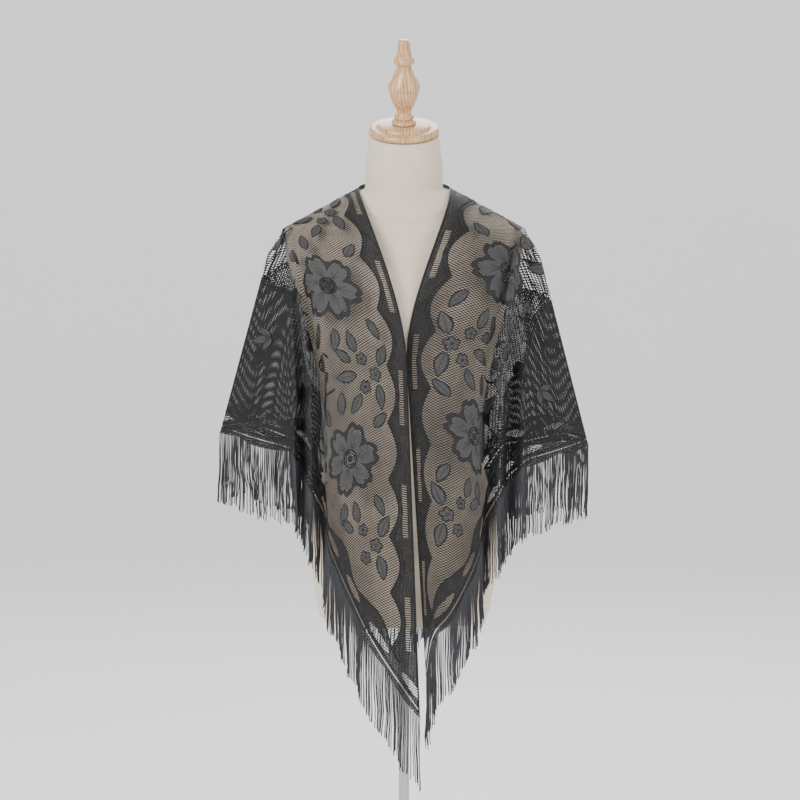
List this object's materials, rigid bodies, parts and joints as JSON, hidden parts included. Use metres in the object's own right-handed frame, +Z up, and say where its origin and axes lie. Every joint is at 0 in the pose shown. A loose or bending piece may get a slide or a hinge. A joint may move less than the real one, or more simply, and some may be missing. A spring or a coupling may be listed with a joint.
{
  "type": "lace shawl on a limbless dress form",
  "caption": "Sheer triangular lace shawl with a fringed hem, draped over the shoulders of a limbless dress form that stands on a pole and a round base.",
  "frame": {"origin": "centre of the base's underside, on the floor", "axes": "+Z up along the pole, -Y towards the front of the form, +X towards the viewer's right"},
  "size_m": [0.5557, 0.31, 1.6166],
  "materials": {
    "lace": "black knitted lace",
    "linen": "natural linen weave",
    "wood": "clear varnish",
    "steel": "satin"
  },
  "bodies": {
    "root": {"front_fall_left": "lace", "front_fall_right": "lace", "back_fall": "lace", "fringe_front_left": "lace", "fringe_front_right": "lace", "fringe_back_left": "lace", "fringe_back_right": "lace", "form_torso": "linen", "neck_cap": "wood", "finial": "wood", "pole": "steel", "base": "steel"}
  },
  "joints": []
}
